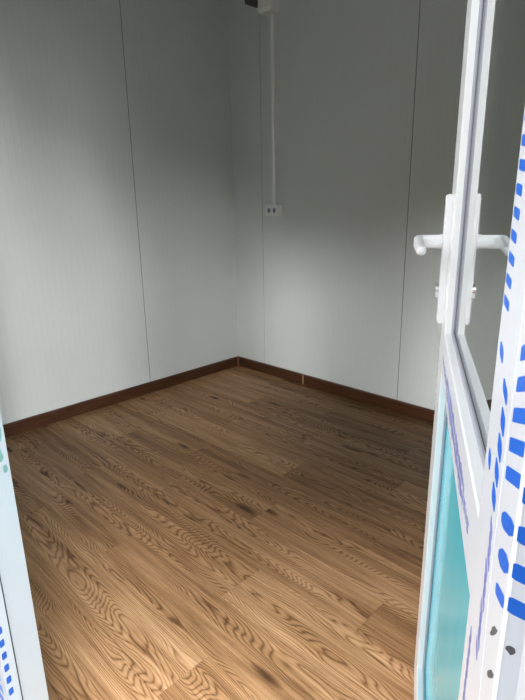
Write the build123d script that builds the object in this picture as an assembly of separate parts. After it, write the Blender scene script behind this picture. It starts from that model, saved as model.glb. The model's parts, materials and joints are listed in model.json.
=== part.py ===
from build123d import *

import os
from math import cos, radians, sin

# Portable site cabin: a steel base and roof frame, sandwich-panel walls round one room, and a glazed
# door that stands open into the room. Millimetres. +X runs along the front wall, +Y from the front wall
# to the back wall and +Z up. The origin is the middle of the footprint, on the ground.
os.makedirs("parts", exist_ok=True)

# Room inside the walls
room_length = 2900.0
room_depth = 2110.0
room_height = 2340.0

# Sandwich-panel walls; the joints are measured from the back left corner of the room
wall_thickness = 50.0
panel_module = 1000.0
back_first_joint = 262.0
side_first_joint = 731.0
joint_gap = 1.6
joint_bevel = 2.2
tongue_length = 10.0
tongue_thickness = 12.0
tongue_clearance = 1.2

# Steel frame
frame_proud = 25.0
base_rail_height = 150.0
roof_rail_height = 150.0
rail_steel = 4.0
roof_lip = 40.0
roof_lip_drop = 14.0
joist_count = 5
joist_width = 50.0
joist_steel = 4.0
post_leg = 115.0
post_steel = 3.0
purlin_count = 3
purlin_size = 50.0
purlin_steel = 3.0
sheet_thickness = 2.0
sheet_rib_height = 28.0
sheet_rib_pitch = 250.0
sheet_rib_base = 70.0
sheet_rib_top = 30.0
ceiling_thickness = 40.0
edge_clearance = 1.0
eye_thickness = 12.0
eye_width = 80.0
eye_height = 95.0
eye_bore_radius = 17.5
eye_inset = 110.0

# Floor
floor_board = 18.0
floor_planks = 8.0
plank_gap = 2.0
skirting_height = 65.0
skirting_thickness = 14.0
skirting_round = 8.0
skirting_joiner_at = 610.0
joiner_width = 9.0
joiner_proud = 1.5

# Door frame; the doorway is measured between its rebate faces, and from the right one to the right wall
door_width = 814.0
door_inset = 338.0
door_height = 2013.0
frame_depth = 70.0
frame_face = 45.0
frame_cover = 18.0
stop_height = 18.0
seal_groove_width = 3.0
seal_groove_depth = 3.0
threshold_rise = 3.0
threshold_stop = 26.0
threshold_nose = 9.0

# Door leaf, drawn shut and then turned open to the pose in the photo
leaf_gap = 7.0
leaf_floor_gap = 16.0
leaf_thickness = 60.0
leaf_proud = 16.0
leaf_stop_gap = 5.0
leaf_open_angle = 61.8
overlap_width = 10.0
overlap_thickness = 11.0
stile_width = 115.0
lip_depth = 15.5
lip_bevel = 1.5
rebate_width = 15.0
mid_rail_low = 802.0
mid_rail_face = 72.0
unit_thickness = 24.0
pane_thickness = 4.0
glass_clearance = 2.0
seal_thickness = 1.0
bead_width = 13.0
bead_chamfer = 6.0

# Hinges
hinge_heights = (230.0, 1010.0, 1780.0)
hinge_radius = 7.5
hinge_pin_radius = 4.0
hinge_pin_clearance = 0.3
hinge_pin_length = 27.0
hinge_half_length = 45.0
hinge_split_gap = 1.0
hinge_sink = 5.0
hinge_edge_gap = 1.0
hinge_flag_length = 32.0
hinge_flag_thickness = 3.0

# Door furniture
plate_length = 230.0
plate_width = 32.0
plate_thickness = 12.0
plate_round = 4.0
plate_low = 880.0
handle_setback = 46.0
handle_height = 1028.0
lever_seat_gap = 0.3
lever_reach = 50.0
lever_length = 118.0
lever_drop = 6.0
lever_return = 5.0
lever_bend_radius = 15.0
lever_tall = 24.0
lever_deep = 16.0
lever_round = 7.5
lever_tip_angles = (0.0, 35.0, 70.0)
lever_collar_radius = 13.0
lever_collar_length = 6.0
cylinder_drop = 85.0
cylinder_radius = 8.5
cylinder_slot_width = 10.0
cylinder_slot_drop = 16.0
cylinder_proud = 6.0

# Lock faceplate in the leaf's free edge and the strike plate opposite it in the jamb
lock_plate_length = 240.0
lock_plate_width = 20.0
lock_plate_thickness = 3.0
lock_plate_round = 9.5
latch_width = 12.0
latch_height = 34.0
bolt_height = 46.0

# Wall socket, trunking and distribution box on the back wall
socket_centre = 382.0
socket_width = 96.0
socket_height = 64.0
socket_depth = 50.0
socket_low = 1027.0
socket_round = 4.0
well_radius = 19.0
well_depth = 15.0
well_spacing = 44.0
trunking_centre = 367.0
trunking_width = 20.0
trunking_depth = 10.0
trunking_round = 2.0
box_left = 322.0
box_width = 96.0
box_height = 190.0
box_depth = 66.0
box_drop = 50.0
box_round = 14.0
nose_depth = 8.0
nose_margin = 4.0
lid_low = 24.0
lid_height = 124.0
lid_thickness = 3.0
lid_front_gap = 5.0
lid_pin_radius = 2.5
lid_knuckle_radius = 4.0
lid_pin_clearance = 0.3
lid_ear_length = 10.0
lid_ear_gap = 1.0

# Extra length of a cutting shape past what it cuts
cut_margin = 1.0

# Places worked out from the sizes above
half_x = room_length / 2
half_y = room_depth / 2
outer_x = half_x + wall_thickness + frame_proud
outer_y = half_y + wall_thickness + frame_proud
wall_low = base_rail_height
floor_top = base_rail_height + floor_planks
wall_high = floor_top + room_height
rail_flange = frame_proud + wall_thickness
door_right = room_length - door_inset
door_left = door_right - door_width
box_low = room_height - box_drop - box_height


def solids_of(shapes):
    """Keep like pieces together in one node."""
    return Compound(children=list(shapes))


def prism(points, low, high):
    """Upright prism on a plan outline."""
    face = make_face(Polyline(*points, close=True))
    return Pos(0, 0, low) * extrude(face, amount=high - low, dir=(0, 0, 1))


def block(x_range, y_range, z_range):
    """Rectangular block between three pairs of limits."""
    size = [high - low for low, high in (x_range, y_range, z_range)]
    corner = Pos(x_range[0], y_range[0], z_range[0])
    return corner * Box(*size, align=(Align.MIN, Align.MIN, Align.MIN))


def ring_side(side, section, low, high, square_foot=None):
    """One side of a rectangular ring with mitred corners, drawn in XY with its depth along Z.

    section holds (d, h) points: d is measured inwards from the ring's edge and h is the depth. With
    square_foot the lower end is cut square at that height in place of the mitre.
    """
    (x0, y0), (x1, y1) = low, high
    near = min(d for d, _ in section)
    far = max(d for d, _ in section)
    span = (y0, y1) if side in ("left", "right") else (x0, x1)
    start, end = span[0] - far + 2 * near, span[1] + far - 2 * near
    foot_near, foot_far = span[0] + near, span[0] + far
    if square_foot is not None:
        start = foot_near = foot_far = square_foot
    mitre = [(near, foot_near), (far, foot_far), (far, span[1] - far), (near, span[1] - near)]
    depth = [h for _, h in section]
    profile = make_face(Polyline(*section, close=True))
    along = Plane(origin=(0, start, 0), x_dir=(1, 0, 0), z_dir=(0, -1, 0))
    bar = along * extrude(profile, amount=start - end)
    cutter = prism(mitre, min(depth) - cut_margin, max(depth) + cut_margin)
    bar = (bar & cutter).solids()[0]
    if side == "left":
        return Pos(x0, 0, 0) * bar
    if side == "right":
        return Pos(x1, 0, 0) * mirror(bar, about=Plane.YZ)
    turned = mirror(bar, about=Plane(origin=(0, 0, 0), x_dir=(1, 1, 0), z_dir=(1, -1, 0)))
    if side == "bottom":
        return Pos(0, y0, 0) * turned
    return Pos(0, y1, 0) * mirror(turned, about=Plane.XZ)


def upright(shape):
    """Stand a ring drawn in XY up into XZ, with its depth running towards the back."""
    return mirror(Plane.XZ * shape, about=Plane.XZ)


def room(x, y, z):
    """A point measured from the room's back left floor corner, towards the right, the front and up."""
    return (x - half_x, half_y - y, floor_top + z)


# Base frame: channels open inwards, mitred at the corners, with joists between their webs
channel = [
    (0, 0), (rail_flange, 0), (rail_flange, rail_steel), (rail_steel, rail_steel),
    (rail_steel, base_rail_height - rail_steel), (rail_flange, base_rail_height - rail_steel),
    (rail_flange, base_rail_height), (0, base_rail_height),
]
foot_low, foot_high = (-outer_x, -outer_y), (outer_x, outer_y)
long_sides, end_sides = ("bottom", "top"), ("left", "right")
base_long_rails = solids_of(ring_side(side, channel, foot_low, foot_high) for side in long_sides)
base_end_rails = solids_of(ring_side(side, channel, foot_low, foot_high) for side in end_sides)

joist_top = base_rail_height - floor_board
joist = [
    (0, rail_steel), (joist_width, rail_steel), (joist_width, rail_steel + joist_steel),
    (joist_steel, rail_steel + joist_steel), (joist_steel, joist_top - joist_steel),
    (joist_width, joist_top - joist_steel), (joist_width, joist_top), (0, joist_top),
]
joist_pitch = room_length / (joist_count + 1)
joist_reach = outer_y - rail_steel
joist_face = make_face(Polyline(*joist, close=True))
joists = []
for index in range(joist_count):
    joist_x = -half_x + joist_pitch * (index + 1) - joist_width / 2
    joists.append(Pos(joist_x, joist_reach, 0) * (Plane.XZ * extrude(joist_face, amount=2 * joist_reach)))
floor_joists = solids_of(joists)

board_x, board_y = half_x - edge_clearance, half_y - edge_clearance
floor_deck = block((-board_x, board_x), (-board_y, board_y), (joist_top, base_rail_height))
plank_x, plank_y = half_x - plank_gap, half_y - plank_gap
laminate = block((-plank_x, plank_x), (-plank_y, plank_y), (base_rail_height, floor_top))

# Corner posts: folded angles whose returns bear on the outside of the panels
post_return = frame_proud
post_outline = [
    (0, 0), (post_leg, 0), (post_leg, post_return), (post_leg - post_steel, post_return),
    (post_leg - post_steel, post_steel), (post_steel, post_steel), (post_steel, post_leg - post_steel),
    (post_return, post_leg - post_steel), (post_return, post_leg), (0, post_leg),
]
posts = []
for x_sign in (-1, 1):
    for y_sign in (-1, 1):
        outline = [(x_sign * (outer_x - a), y_sign * (outer_y - b)) for a, b in post_outline]
        posts.append(prism(outline, wall_low, wall_high))
corner_posts = solids_of(posts)

# Roof frame: channels with a turned-down inner lip, the ceiling on their lower flange, purlins and sheet
roof_channel = [
    (0, 0), (rail_flange, 0), (rail_flange, rail_steel), (rail_steel, rail_steel),
    (rail_steel, roof_rail_height - rail_steel),
    (roof_lip - rail_steel, roof_rail_height - rail_steel),
    (roof_lip - rail_steel, roof_rail_height - roof_lip_drop),
    (roof_lip, roof_rail_height - roof_lip_drop), (roof_lip, roof_rail_height), (0, roof_rail_height),
]
on_walls = Pos(0, 0, wall_high)
roof_long_rails = solids_of(
    on_walls * ring_side(side, roof_channel, foot_low, foot_high) for side in long_sides
)
roof_end_rails = solids_of(
    on_walls * ring_side(side, roof_channel, foot_low, foot_high) for side in end_sides
)

web_x, web_y = outer_x - rail_steel, outer_y - rail_steel
ceiling_low = wall_high + rail_steel
ceiling_high = ceiling_low + ceiling_thickness

purlin_face = Rectangle(purlin_size, purlin_size) - Rectangle(purlin_size - 2 * purlin_steel,
                                                              purlin_size - 2 * purlin_steel)
purlin = Plane.YZ * extrude(purlin_face, amount=2 * web_x)
purlin_pitch = 2 * web_y / (purlin_count + 1)
roof_purlins = solids_of(
    Pos(-web_x, -web_y + purlin_pitch * (index + 1), ceiling_high + purlin_size / 2) * purlin
    for index in range(purlin_count)
)

sheet_low = ceiling_high + purlin_size
sheet_x, sheet_y = web_x - edge_clearance, web_y - edge_clearance
rib_count = int(2 * sheet_x // sheet_rib_pitch)
rib_start = -sheet_rib_pitch * (rib_count - 1) / 2
sheet_line = [(-sheet_x, 0)]
for index in range(rib_count):
    rib_centre = rib_start + sheet_rib_pitch * index
    sheet_line += [
        (rib_centre - sheet_rib_base / 2, 0), (rib_centre - sheet_rib_top / 2, sheet_rib_height),
        (rib_centre + sheet_rib_top / 2, sheet_rib_height), (rib_centre + sheet_rib_base / 2, 0),
    ]
sheet_line.append((sheet_x, 0))
sheet_outline = sheet_line + [(x, z + sheet_thickness) for x, z in reversed(sheet_line)]
sheet_face = make_face(Polyline(*sheet_outline, close=True))
roof_sheet = Pos(0, sheet_y, sheet_low) * (Plane.XZ * extrude(sheet_face, amount=2 * sheet_y))

eye_low = wall_high + roof_rail_height
eye_centre = eye_height - eye_width / 2
eye_face = Pos(0, eye_centre / 2) * Rectangle(eye_width, eye_centre)
eye_face += Pos(0, eye_centre) * Circle(eye_width / 2)
eye_face -= Pos(0, eye_centre) * Circle(eye_bore_radius)
eye_plate = Pos(0, eye_thickness / 2, 0) * (Plane.XZ * extrude(eye_face, amount=eye_thickness))
eye_x, eye_y = outer_x - eye_inset, outer_y - roof_lip / 2
lifting_eyes = solids_of(Pos(x, y, eye_low) * eye_plate for x in (-eye_x, eye_x) for y in (-eye_y, eye_y))


def panel_outline(low, high, joint_low, joint_high, thickness=wall_thickness):
    """Outline of a panel from low to high along its wall, with the inner face at 0.

    A joint end has bevelled edges and half of the joint's gap, grooved when low and tongued when high.
    """
    half_gap = joint_gap / 2
    middle = thickness / 2
    tongue = tongue_thickness / 2
    groove = tongue + tongue_clearance
    points = [(low, 0), (low, thickness)]
    if joint_low:
        edge = low + half_gap
        bottom = edge + joint_gap + tongue_length
        points = [
            (edge + joint_bevel, 0), (edge, joint_bevel), (edge, middle - groove), (bottom, middle - groove),
            (bottom, middle + groove), (edge, middle + groove), (edge, thickness - joint_bevel),
            (edge + joint_bevel, thickness),
        ]
    if not joint_high:
        return points + [(high, thickness), (high, 0)]
    edge = high - half_gap
    tip = edge + tongue_length
    return points + [
        (edge - joint_bevel, thickness), (edge, thickness - joint_bevel), (edge, middle + tongue),
        (tip, middle + tongue), (tip, middle - tongue), (edge, middle - tongue), (edge, joint_bevel),
        (edge - joint_bevel, 0),
    ]


def panel_run(low, high, joints, thickness=wall_thickness):
    """Outlines of the panels from low to high with a joint at each of the places given."""
    stops = [low] + [place for place in joints if low < place < high] + [high]
    last = len(stops) - 2
    return [
        panel_outline(stops[index], stops[index + 1], index > 0, index < last, thickness)
        for index in range(last + 1)
    ]


def wall(to_plan, low, high, joints):
    """A wall of panels from low to high with a joint at each of the places given."""
    return solids_of(
        prism([to_plan(s, t) for s, t in outline], wall_low, wall_high)
        for outline in panel_run(low, high, joints)
    )


def joint_places(first, reach):
    """Places of the panel joints along a wall, from the back left corner."""
    count = int((reach - first) // panel_module) + 1
    return [first + panel_module * index for index in range(count)]


def in_back_wall(s, t):
    return (s - half_x, half_y + t)


def in_front_wall(s, t):
    return (s - half_x, -half_y - t)


def in_left_wall(s, t):
    return (-half_x - t, half_y - s)


def in_right_wall(s, t):
    return (half_x + t, half_y - s)


long_joints = joint_places(back_first_joint, room_length)
side_joints = joint_places(side_first_joint, room_depth)
wall_end = room_length + wall_thickness
back_wall = wall(in_back_wall, -wall_thickness, wall_end, long_joints)
left_wall = wall(in_left_wall, 0, room_depth, side_joints)
right_wall = wall(in_right_wall, 0, room_depth, side_joints)

ceiling_x, ceiling_y = web_x - edge_clearance, web_y - edge_clearance
ceiling_sheets = []
for outline in panel_run(half_x - ceiling_x, half_x + ceiling_x, long_joints, ceiling_thickness):
    panel_end = make_face(Polyline(*[(s - half_x, t) for s, t in outline], close=True))
    panel = Plane.XZ * extrude(panel_end, amount=2 * ceiling_y)
    ceiling_sheets.append(Pos(0, ceiling_y, ceiling_low) * panel)
ceiling_panel = solids_of(ceiling_sheets)

frame_left, frame_right = door_left - frame_face, door_right + frame_face
frame_top = floor_top + door_height + frame_face
front_wall_left = wall(in_front_wall, -wall_thickness, frame_left, long_joints)
front_wall_right = wall(in_front_wall, frame_right, wall_end, [])
over_door = [in_front_wall(s, t) for s, t in panel_outline(frame_left, frame_right, False, False)]
front_wall_over_door = prism(over_door, frame_top, wall_high)

# Door frame: a rebated profile with a cover strip outside, mitred at the head, on a stepped threshold
stop_face = leaf_thickness - leaf_proud + leaf_stop_gap
groove_low = stop_height - seal_groove_width - seal_groove_depth
frame_section = [
    (-frame_face, 0), (0, 0), (0, stop_face), (groove_low, stop_face),
    (groove_low, stop_face + seal_groove_depth),
    (groove_low + seal_groove_width, stop_face + seal_groove_depth),
    (groove_low + seal_groove_width, stop_face),
    (stop_height, stop_face), (stop_height, frame_depth), (-frame_face - frame_cover, frame_depth),
    (-frame_face - frame_cover, wall_thickness), (-frame_face, wall_thickness),
]
# The depth of each section is counted outwards from the wall's inner face
frame_section = [(d, -half_y - h) for d, h in frame_section]
door_low = (door_left - half_x, 0)
door_high = (door_right - half_x, floor_top + door_height)
jamb_foot = base_rail_height
door_jamb_left, door_jamb_right = (
    upright(ring_side(side, frame_section, door_low, door_high, square_foot=jamb_foot)) for side in end_sides
)
door_head = upright(ring_side("top", frame_section, door_low, door_high))

sill_high = floor_top + threshold_rise
threshold_section = [
    (-half_y, base_rail_height), (-half_y, floor_top), (-half_y - threshold_rise, sill_high),
    (-half_y - stop_face, sill_high), (-half_y - stop_face, floor_top + threshold_stop),
    (-half_y - frame_depth + threshold_nose, floor_top + threshold_stop), (-half_y - frame_depth, sill_high),
    (-half_y - frame_depth, base_rail_height),
]
threshold_face = make_face(Polyline(*threshold_section, close=True))
threshold_bar = Plane.YZ * extrude(threshold_face, amount=door_width)
jamb_room = block(
    (door_low[0] - cut_margin, door_low[0] + stop_height),
    (-half_y - frame_depth - cut_margin, -half_y - stop_face),
    (base_rail_height - cut_margin, floor_top + threshold_stop + cut_margin),
)
door_threshold = Pos(door_low[0], 0, 0) * threshold_bar
door_threshold -= jamb_room
door_threshold -= Pos(door_width - stop_height + cut_margin, 0, 0) * jamb_room

# Door leaf, drawn shut: a rebated sash whose inner overlap covers the gap to the frame
leaf_left, leaf_right = door_low[0] + leaf_gap, door_high[0] - leaf_gap
leaf_low, leaf_high = floor_top + leaf_floor_gap, door_high[1] - leaf_gap
inner_face = leaf_proud - half_y
outer_face = inner_face - leaf_thickness
hinge_x = leaf_right + overlap_width + hinge_edge_gap + hinge_radius
hinge_y = inner_face - hinge_sink
hinge_axis = Axis((hinge_x, hinge_y, 0), (0, 0, 1))
rebate_floor = outer_face + lip_depth


def opened(shape):
    """Turn a piece of the shut leaf to the open pose."""
    return shape.rotate(hinge_axis, -leaf_open_angle)


core_edge = stile_width - rebate_width
overlap_face = inner_face - overlap_thickness
leaf_section = [
    (-overlap_width, inner_face), (core_edge, inner_face), (core_edge, rebate_floor),
    (stile_width, rebate_floor), (stile_width, outer_face + lip_bevel),
    (stile_width - lip_bevel, outer_face), (lip_bevel, outer_face), (0, outer_face + lip_bevel),
    (0, overlap_face), (-overlap_width, overlap_face),
]
leaf_min, leaf_max = (leaf_left, leaf_low), (leaf_right, leaf_high)
door_lock_stile = upright(ring_side("left", leaf_section, leaf_min, leaf_max))
door_hinge_stile = upright(ring_side("right", leaf_section, leaf_min, leaf_max))
door_top_rail = upright(ring_side("top", leaf_section, leaf_min, leaf_max))
door_bottom_rail = upright(ring_side("bottom", leaf_section, leaf_min, leaf_max))

mid_low, mid_high = floor_top + mid_rail_low, floor_top + mid_rail_low + mid_rail_face
core_low, core_high = mid_low + rebate_width, mid_high - rebate_width
core_left, core_right = leaf_left + core_edge, leaf_right - core_edge
mid_outline = [
    (outer_face + lip_bevel, mid_low), (rebate_floor, mid_low), (rebate_floor, mid_high),
    (outer_face + lip_bevel, mid_high), (outer_face, mid_high - lip_bevel),
    (outer_face, mid_low + lip_bevel),
]
mid_length = leaf_right - leaf_left - 2 * stile_width
mid_face = Plane.YZ * extrude(make_face(Polyline(*mid_outline, close=True)), amount=mid_length)
mid_core = block((core_left, core_right), (rebate_floor, inner_face), (core_low, core_high))
door_mid_rail = Pos(leaf_left + stile_width, 0, 0) * mid_face + mid_core


def bead_ring(low, high):
    """Four mitred beads on the inner side of one opening of the leaf."""
    sides = ("left", "right", "top", "bottom")
    return solids_of(opened(upright(ring_side(side, bead_section, low, high))) for side in sides)


def infill(low, high, front, back):
    """A pane or panel that fills one opening of the leaf."""
    pane = block(
        (low[0] + glass_clearance, high[0] - glass_clearance), (front, back),
        (low[1] + glass_clearance, high[1] - glass_clearance),
    )
    return opened(pane)


unit_front = rebate_floor + seal_thickness
unit_back = unit_front + unit_thickness
bead_section = [
    (0, unit_back + seal_thickness), (bead_width, unit_back + seal_thickness),
    (bead_width, inner_face - bead_chamfer), (bead_width - bead_chamfer, inner_face), (0, inner_face),
]
upper_low, upper_high = (core_left, core_high), (core_right, leaf_high - core_edge)
lower_low, lower_high = (core_left, leaf_low + core_edge), (core_right, core_low)
door_glass_beads = bead_ring(upper_low, upper_high)
door_panel_beads = bead_ring(lower_low, lower_high)
door_glass = solids_of((
    infill(upper_low, upper_high, unit_front, unit_front + pane_thickness),
    infill(upper_low, upper_high, unit_back - pane_thickness, unit_back),
))
door_lower_panel = infill(lower_low, lower_high, unit_front, unit_back)

# Hinges: a fixed half with the pin on the frame, and above it a half with the bore on the leaf
on_foot = (Align.CENTER, Align.CENTER, Align.MIN)


def hinge_barrel(radius, low, length):
    """A cylinder on the hinge axis, from low upwards."""
    return Pos(hinge_x, hinge_y, low) * Cylinder(radius, length, align=on_foot)


fixed_halves = []
leaf_halves = []
for height in hinge_heights:
    split = floor_top + height
    span = (split - hinge_half_length, split)
    fixed = hinge_barrel(hinge_radius, span[0], hinge_half_length)
    fixed += hinge_barrel(hinge_pin_radius, split, hinge_pin_length)
    fixed += block((hinge_x, hinge_x + hinge_radius), (-half_y, hinge_y), span)
    fixed += block((hinge_x, hinge_x + hinge_flag_length), (-half_y, hinge_flag_thickness - half_y), span)
    fixed_halves.append(fixed)
    start = split + hinge_split_gap
    span = (start, start + hinge_half_length)
    moving = hinge_barrel(hinge_radius, start, hinge_half_length)
    flag_faces = (inner_face, inner_face + hinge_flag_thickness)
    moving += block((hinge_x - hinge_flag_length, hinge_x), flag_faces, span)
    moving -= hinge_barrel(hinge_pin_radius + hinge_pin_clearance, start, hinge_pin_length)
    leaf_halves.append(opened(moving))
frame_hinges = solids_of(fixed_halves)
door_hinges = solids_of(leaf_halves)

# Door furniture on both faces, drawn for the outer face and mirrored through the leaf
handle_x = leaf_left + handle_setback
handle_z = floor_top + handle_height
leaf_middle = (inner_face + outer_face) / 2
through_leaf = Plane(origin=(0, leaf_middle, 0), x_dir=(1, 0, 0), z_dir=(0, 1, 0))


def both_faces(shape):
    return solids_of((opened(shape), opened(mirror(shape, about=through_leaf))))


plate_face = Rectangle(plate_width, plate_length)
plate = Plane.XZ * extrude(plate_face, amount=plate_thickness)
front_edges = plate.edges().filter_by_position(Axis.Y, -plate_thickness, -plate_thickness)
plate = fillet(front_edges, radius=plate_round)
plate_centre = floor_top + plate_low + plate_length / 2
handle_plates = both_faces(Pos(handle_x, outer_face, plate_centre) * plate)

seat = outer_face - plate_thickness - lever_seat_gap
collar = Plane.XZ * Cylinder(lever_collar_radius, lever_collar_length, align=on_foot)
grip_y = -lever_reach + lever_deep / 2
bend_end = lever_bend_radius + edge_clearance
neck_path = FilletPolyline((0, 0, 0), (0, grip_y, 0), (bend_end, grip_y, 0), radius=lever_bend_radius)
neck_section = RectangleRounded(lever_deep, lever_tall, lever_round)
neck_face = Plane(origin=(0, 0, 0), x_dir=(1, 0, 0), z_dir=(0, -1, 0)) * neck_section
# The grip tapers from the neck's section to a tip that leans back towards the leaf and is rounded in steps
across_bend = Plane(origin=(bend_end, grip_y, 0), x_dir=(0, 1, 0), z_dir=(1, 0, 0))
grip_sections = [across_bend * neck_section]
for angle in lever_tip_angles:
    swell = cos(radians(angle))
    tip_x = lever_length + sin(radians(angle)) * lever_deep / 2
    tip = (tip_x, grip_y + lever_return, -lever_drop)
    across_tip = Plane(origin=tip, x_dir=(0, 1, 0), z_dir=(1, 0, 0))
    width = lever_deep * swell
    grip_sections.append(across_tip * RectangleRounded(width, width, lever_round * swell))
grip = loft(grip_sections, ruled=True)
lever = collar + sweep(neck_face, path=neck_path) + grip
lever_handles = both_faces(Pos(handle_x, seat, handle_z) * lever)

slot_face = Circle(cylinder_radius)
slot_face += Pos(0, -cylinder_slot_drop / 2) * Rectangle(cylinder_slot_width, cylinder_slot_drop)
lock_barrel = Plane.XZ * extrude(slot_face, amount=cylinder_proud)
barrel_seat = outer_face - plate_thickness
lock_cylinder = both_faces(Pos(handle_x, barrel_seat, handle_z - cylinder_drop) * lock_barrel)

edge_y = (outer_face + overlap_face) / 2
lock_middle = handle_z - cylinder_drop / 2
lock_blank = block(
    (0, lock_plate_thickness), (edge_y - lock_plate_width / 2, edge_y + lock_plate_width / 2),
    (lock_middle - lock_plate_length / 2, lock_middle + lock_plate_length / 2),
)
lock_blank = fillet(lock_blank.edges().filter_by(Axis.X), radius=lock_plate_round)
lock_plate = lock_blank
through_plate = (-cut_margin, lock_plate_thickness + cut_margin)
latch_faces = (edge_y - latch_width / 2, edge_y + latch_width / 2)
for middle, height in ((handle_z, latch_height), (handle_z - cylinder_drop, bolt_height)):
    lock_plate -= block(through_plate, latch_faces, (middle - height / 2, middle + height / 2))
door_lock_stile -= Pos(leaf_left, 0, 0) * lock_blank
lock_faceplate = opened(Pos(leaf_left, 0, 0) * lock_plate)
in_jamb = Pos(door_low[0] - lock_plate_thickness, 0, 0)
door_jamb_left -= in_jamb * lock_blank
strike_plate = in_jamb * lock_plate

# Skirting with a rounded top edge, a joiner on the back wall and clips in the back corners
skirting_line = Line((0, skirting_height), (0, 0)) + Line((0, 0), (skirting_thickness, 0))
skirting_line += Line((skirting_thickness, 0), (skirting_thickness, skirting_height - skirting_round))
skirting_line += RadiusArc(
    (skirting_thickness, skirting_height - skirting_round),
    (skirting_thickness - skirting_round, skirting_height), -skirting_round,
)
skirting_line += Line((skirting_thickness - skirting_round, skirting_height), (0, skirting_height))
skirting_face = make_face(skirting_line)


def mitred_run(length, turn, start, low_mitre, high_mitre):
    """A skirting board from start along its wall, turned from +X, mitred where it meets the next one."""
    on_end = Plane(origin=(0, 0, 0), x_dir=(0, -1, 0), z_dir=(-1, 0, 0))
    board = on_end * extrude(skirting_face, amount=-length)
    far = skirting_thickness
    low, high = far if low_mitre else 0, length - far if high_mitre else length
    outline = [(0, 0), (low, -far), (high, -far), (length, 0)]
    board = (board & prism(outline, -cut_margin, skirting_height + cut_margin)).solids()[0]
    return Location(start, (0, 0, turn)) * board


back_left, back_right = room(0, 0, 0), room(room_length, 0, 0)
front_left, front_right = room(0, room_depth, 0), room(room_length, room_depth, 0)
skirting_back = mitred_run(room_length, 0, back_left, True, True)
skirting_left = mitred_run(room_depth, 90, front_left, True, True)
skirting_right = mitred_run(room_depth, -90, back_right, True, True)
front_right_run = mitred_run(room_length - frame_right, 180, front_right, True, False)
front_left_run = mitred_run(frame_left, 180, room(frame_left, room_depth, 0), False, True)
skirting_front = solids_of((front_left_run, front_right_run))

joiner_y = half_y - skirting_thickness
joiner_x = skirting_joiner_at - half_x
joiner = block(
    (joiner_x - joiner_width / 2, joiner_x + joiner_width / 2), (joiner_y - joiner_proud, joiner_y),
    (floor_top, floor_top + skirting_height),
)
clip = Cylinder(joiner_width, skirting_height, arc_size=90, align=(Align.NONE, Align.NONE, Align.MIN))
corner_clips = []
for x_sign, turn in ((-1, 270), (1, 180)):
    corner = (x_sign * (half_x - skirting_thickness), joiner_y, floor_top)
    corner_clips.append(Location(corner, (0, 0, turn)) * clip)
skirting_clips = solids_of([joiner] + corner_clips)

# Wall socket with two round wells, and the trunking that feeds it from the distribution box
socket_x = socket_centre - half_x
socket_z = floor_top + socket_low + socket_height / 2
socket = Pos(socket_x, half_y - socket_depth / 2, socket_z) * Box(socket_width, socket_depth, socket_height)
socket_front = socket.edges().filter_by_position(Axis.Y, half_y - socket_depth, half_y - socket_depth)
socket = fillet(socket_front, radius=socket_round)
well = Plane.XZ * Cylinder(well_radius, well_depth, align=(Align.CENTER, Align.CENTER, Align.MAX))
for side in (-1, 1):
    socket -= Pos(socket_x + side * well_spacing / 2, half_y - socket_depth, socket_z) * well

trunk_x = trunking_centre - half_x
trunk_low, trunk_high = floor_top + socket_low + socket_height, floor_top + box_low
trunking = block(
    (trunk_x - trunking_width / 2, trunk_x + trunking_width / 2), (half_y - trunking_depth, half_y),
    (trunk_low, trunk_high),
)
trunking = fillet(trunking.edges().filter_by(Axis.Z).sort_by(Axis.Y)[:2], radius=trunking_round)

# Distribution box: a rounded case with a raised nose for the switches and a lid on two pins at its left side
box_x0, box_x1 = box_left - half_x, box_left + box_width - half_x
box_z0 = floor_top + box_low
box_front = half_y - box_depth
case = block((box_x0, box_x1), (box_front, half_y), (box_z0, box_z0 + box_height))
case = fillet(case.edges().filter_by(Axis.Y), radius=box_round)
lid_z0 = box_z0 + lid_low
lid_z1 = lid_z0 + lid_height
nose = block(
    (box_x0 + box_round + nose_margin, box_x1 - box_round), (box_front - nose_depth, box_front),
    (lid_z0 + nose_margin, lid_z1 - nose_margin),
)
lid_x = box_x0 + lid_knuckle_radius + lid_ear_gap
lid_y = box_front - nose_depth - lid_front_gap - lid_thickness / 2
ears = []
ear_spans = ((lid_z0 - lid_ear_length, lid_z0 - lid_ear_gap), (lid_z1 + lid_ear_gap, lid_z1 + lid_ear_length))
for low, high in ear_spans:
    ear = block((lid_x - lid_knuckle_radius, lid_x + lid_knuckle_radius), (lid_y, box_front), (low, high))
    ears.append(ear + Pos(lid_x, lid_y, (low + high) / 2) * Cylinder(lid_knuckle_radius, high - low))
lid_middle = (lid_z0 + lid_z1) / 2
pin = Pos(lid_x, lid_y, lid_middle) * Cylinder(lid_pin_radius, lid_height + lid_ear_length)
distribution_box = case + nose + ears[0] + ears[1] + pin

lid_faces = (lid_y - lid_thickness / 2, lid_y + lid_thickness / 2)
lid_plate = block((lid_x, box_x1), lid_faces, (lid_z0, lid_z1))
lid_plate += Pos(lid_x, lid_y, lid_middle) * Cylinder(lid_knuckle_radius, lid_height)
lid_plate -= Pos(lid_x, lid_y, lid_middle) * Cylinder(
    lid_pin_radius + lid_pin_clearance, lid_height + 2 * cut_margin
)
lid_axis = Axis((lid_x, lid_y, 0), (0, 0, 1))
box_lid = lid_plate.rotate(lid_axis, -90)

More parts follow.
